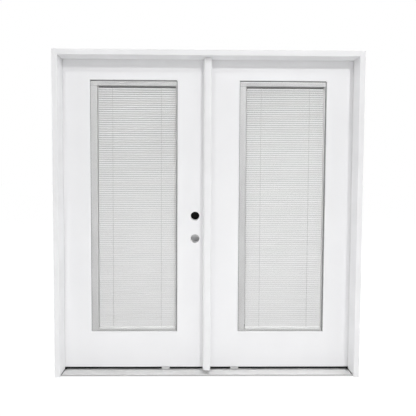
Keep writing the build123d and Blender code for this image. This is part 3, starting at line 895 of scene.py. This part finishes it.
def add_screw(shape, place, outward):
    """A countersunk head at place, facing outward."""
    turn = Vector(outward).to_track_quat("Z", "Y").to_matrix().to_4x4()
    seat = Matrix.Translation(Vector(place)) @ turn
    a, b = recess_half, recess_reach
    cross = ((a, a), (a, b), (-a, b), (-a, a), (-b, a), (-b, -a))
    cross += tuple((-x, -y) for x, y in cross)
    rim = []
    crown = []
    for number in range(head_steps):
        angle = 2 * math.pi * number / head_steps
        spot = Vector((math.cos(angle), math.sin(angle), 0))
        rim.append(shape.verts.new(seat @ (spot * screw_radius)))
        raised = spot * screw_radius * crown_share + Vector((0, 0, screw_crown))
        crown.append(shape.verts.new(seat @ raised))
    lip = [shape.verts.new(seat @ Vector((x, y, screw_crown))) for x, y in cross]
    floor = [shape.verts.new(seat @ Vector((x, y, screw_crown - recess_depth))) for x, y in cross]
    bridge(shape, rim, crown)
    bridge(shape, lip, floor)
    shape.faces.new(floor)
    edges = []
    for ring in (crown, lip):
        for number in range(len(ring)):
            pair = (ring[number], ring[(number + 1) % len(ring)])
            edges.append(shape.edges.get(pair) or shape.edges.new(pair))
    bmesh.ops.triangle_fill(shape, use_beauty=True, edges=edges)


def add_screws(name, spots, body):
    """A set of screw heads as one piece; each spot is a place and the way that the head faces."""
    def build(shape):
        for place, outward in spots:
            add_screw(shape, place, outward)

    add_piece(name, mesh_of(name, build), body, "steel", "steel")
    print(name, len(spots))


hinge_gap = 0.003
hinge_from_top = 0.178
hinge_from_foot = 0.254
screw_spread = ((-0.036, -0.012), (-0.012, -0.027), (0.012, -0.012), (0.036, -0.027))
for side in sides:
    axis_x = joint(f"{side}_door_swing")["pos_m"][0]
    to_door = 1 if side == "left" else -1
    low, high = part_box(f"{side}_slab")
    foot, top = low.z + hinge_from_foot, high.z - hinge_from_top
    for member, way, body in (("jamb", to_door, "frame"), ("door", -to_door, f"{side}_door")):
        face_x = axis_x - way * hinge_gap / 2
        spots = []
        for middle in (foot, (foot + top) / 2, top):
            for rise, depth in screw_spread:
                spots.append(((face_x, high.y + depth, middle + rise), (way, 0, 0)))
        add_screws(f"{side}_{member}_hinge_screws", spots, body)

strike_screw_reach = 0.022
low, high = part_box("lock_strikes")
bores = [each["pos_m"] for each in frame["record"]["mounts"] if each["kind"] == "bore"]
spots = []
for bore in bores:
    for rise in (-strike_screw_reach, strike_screw_reach):
        spots.append(((low.x, (low.y + high.y) / 2, bore[2] + rise), (-1, 0, 0)))
add_screws("lock_strike_screws", spots, "right_door")
low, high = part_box("head_strike")
middle = (low + high) / 2
spots = [((middle.x + way * strike_screw_reach, middle.y, low.z), (0, 0, -1)) for way in (-1, 1)]
add_screws("head_strike_screws", spots, "frame")

# %% [markdown]
# The door stands on white, lit by two lamps high in front and by pale light from both sides.
# The lamp at the right is the stronger one; its shadow of the head lies on the leaves as a hard
# band, and the second lamp, steeper and at the left, adds a paler band below it.
# A third lamp stands on the room side, for pictures from there,
# and a low strip in front throws light up from the floor, as a pale floor would.
# The sky is plain white to the camera, to mirrors and to glass. As a source of light it is dim
# in front and stronger at the sides, as pale walls beside the door would make it.

# %% Light and background
sky_light = 0.02
side_light = 1.83
floor_size = 80.0
floor_shade = (0.85, 0.85, 0.85, 1)
floor_glow = 0.82
floor_level = 1.12
plain_white = (1, 1, 1, 1)
first_bounce = 0.5


def combine(tree, operation, first, second):
    """One step of arithmetic; each value is a socket or a number."""
    step = tree.nodes.new("ShaderNodeMath")
    step.operation = operation
    for slot, value in zip(step.inputs, (first, second)):
        if isinstance(value, float):
            slot.default_value = value
        else:
            tree.links.new(value, slot)
    return step.outputs["Value"]


def seen_directly(tree):
    """One for what the camera sees, also in mirrors and through glass, and zero for matt light."""
    rays = tree.nodes.new("ShaderNodeLightPath")
    total = rays.outputs["Is Camera Ray"]
    for kind in ("Is Glossy Ray", "Is Transmission Ray"):
        total = combine(tree, "MAXIMUM", total, rays.outputs[kind])
    unscattered = combine(tree, "LESS_THAN", rays.outputs["Diffuse Depth"], first_bounce)
    return combine(tree, "MULTIPLY", total, unscattered)


def white_sky():
    """A white world that lights the door with sky_light all round and side_light from the sides."""
    world = bpy.data.worlds.new("studio")
    scene.world = world
    world.use_nodes = True
    tree = world.node_tree
    light = tree.nodes["Background"]
    light.inputs["Color"].default_value = plain_white
    place = tree.nodes.new("ShaderNodeTexCoord")
    split = tree.nodes.new("ShaderNodeSeparateXYZ")
    tree.links.new(place.outputs["Generated"], split.inputs["Vector"])
    sideways = combine(tree, "MULTIPLY", split.outputs["X"], split.outputs["X"])
    extra = combine(tree, "MULTIPLY", sideways, side_light)
    tree.links.new(combine(tree, "ADD", extra, sky_light), light.inputs["Strength"])
    shown = tree.nodes.new("ShaderNodeBackground")
    shown.inputs["Color"].default_value = plain_white
    shown.inputs["Strength"].default_value = 1.0
    choose = tree.nodes.new("ShaderNodeMixShader")
    tree.links.new(seen_directly(tree), choose.inputs["Fac"])
    tree.links.new(light.outputs["Background"], choose.inputs[1])
    tree.links.new(shown.outputs["Background"], choose.inputs[2])
    tree.links.new(choose.outputs["Shader"], tree.nodes["World Output"].inputs["Surface"])


def white_floor():
    """A floor that fades into the white background and keeps a soft shadow."""
    half = floor_size / 2
    corners = [(-half, -half, 0), (half, -half, 0), (half, half, 0), (-half, half, 0)]
    mesh = bpy.data.meshes.new("studio_floor")
    mesh.from_pydata(corners, [], [(0, 1, 2, 3)])
    floor = bpy.data.objects.new("studio_floor", mesh)
    scene.collection.objects.link(floor)
    finish, tree, shader = start_finish("white studio floor")
    shader.inputs["Base Color"].default_value = floor_shade
    shader.inputs["Roughness"].default_value = 1.0
    glow = tree.nodes.new("ShaderNodeEmission")
    glow.inputs["Strength"].default_value = floor_level
    choose = tree.nodes.new("ShaderNodeMixShader")
    share = combine(tree, "MULTIPLY", seen_directly(tree), floor_glow)
    tree.links.new(share, choose.inputs["Fac"])
    tree.links.new(shader.outputs["BSDF"], choose.inputs[1])
    tree.links.new(glow.outputs["Emission"], choose.inputs[2])
    tree.links.new(choose.outputs["Shader"], tree.nodes["Material Output"].inputs["Surface"])
    mesh.materials.append(finish)
    floor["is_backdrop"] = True


def lamp(name, place, aim, watts, size, shows):
    """A lamp of that width and height that shines on aim; shows says if metal mirrors it."""
    light = bpy.data.lights.new(name, "AREA")
    light.shape = "RECTANGLE"
    light.energy = watts
    light.size, light.size_y = size
    holder = bpy.data.objects.new(name, light)
    holder.location = place
    beam = Vector(aim) - Vector(place)
    holder.rotation_euler = beam.to_track_quat("-Z", "Y").to_euler()
    holder.visible_glossy = shows
    holder.visible_transmission = False
    scene.collection.objects.link(holder)


white_sky()
white_floor()
door_middle = (0, 0, 1.0)
door_foot = (0, 0, 0.25)
lamp("lamp_right", (2.13, -4.2, 4.65), door_middle, 94, (0.2, 0.2), True)
lamp("lamp_left", (-1.37, -2.0, 3.97), door_middle, 17, (0.16, 0.16), True)
lamp("lamp_room", (-1.2, 4.4, 3.6), door_middle, 80, (1.2, 1.2), True)
lamp("reflector_low", (0.0, -1.9, 0.06), door_foot, 16.5, (3.0, 0.2), False)
print("sky", sky_light, "and", side_light, "lamps", [each.name for each in bpy.data.lights])

# %% [markdown]
# The camera stands close in front of the door, a little left of its middle and below its top.
# Its place, lens and small turns were fitted to the corners of the frame in the picture.
# The frame of the picture is cut from a larger one, which is the camera's shift.

# %% Camera
picture_pixels = 416
sensor_width = 36.0
focal_pixels = 284.33
camera_place = (-0.0736, -1.7316, 1.2032)
camera_yaw = -0.00828
camera_pitch = 0.03018
camera_roll = 0.00432
centre_pixels = (-9.65, -22.3)

ahead = Vector((-math.sin(camera_yaw), math.cos(camera_yaw), 0))
right = Vector((math.cos(camera_yaw), math.sin(camera_yaw), 0))
upright = Vector((0, 0, 1))
forward = math.cos(camera_pitch) * ahead - math.sin(camera_pitch) * upright
up = math.sin(camera_pitch) * ahead + math.cos(camera_pitch) * upright
rolled_right = math.cos(camera_roll) * right + math.sin(camera_roll) * up
rolled_up = math.cos(camera_roll) * up - math.sin(camera_roll) * right
camera = bpy.data.cameras.new("camera")
camera.sensor_width = sensor_width
camera.sensor_fit = "HORIZONTAL"
camera.lens = sensor_width * focal_pixels / picture_pixels
camera.shift_x = -centre_pixels[0] / picture_pixels
camera.shift_y = centre_pixels[1] / picture_pixels
stand = bpy.data.objects.new("camera", camera)
turn = Matrix((rolled_right, rolled_up, -forward)).transposed()
stand.matrix_world = Matrix.Translation(camera_place) @ turn.to_4x4()
scene.collection.objects.link(stand)
scene.camera = stand
print("lens", round(camera.lens, 2), "mm")

# %% [markdown]
# How far the new pieces reach beyond the solids is printed, at each end. The new pieces may
# not make the door larger than its solids.

# %% Growth beyond the solids
low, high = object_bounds()
for end, growth in (("low", cad_low - low), ("high", high - cad_high)):
    print("grown at the", end, "end by", [round(v * 1000, 2) for v in growth], "mm")
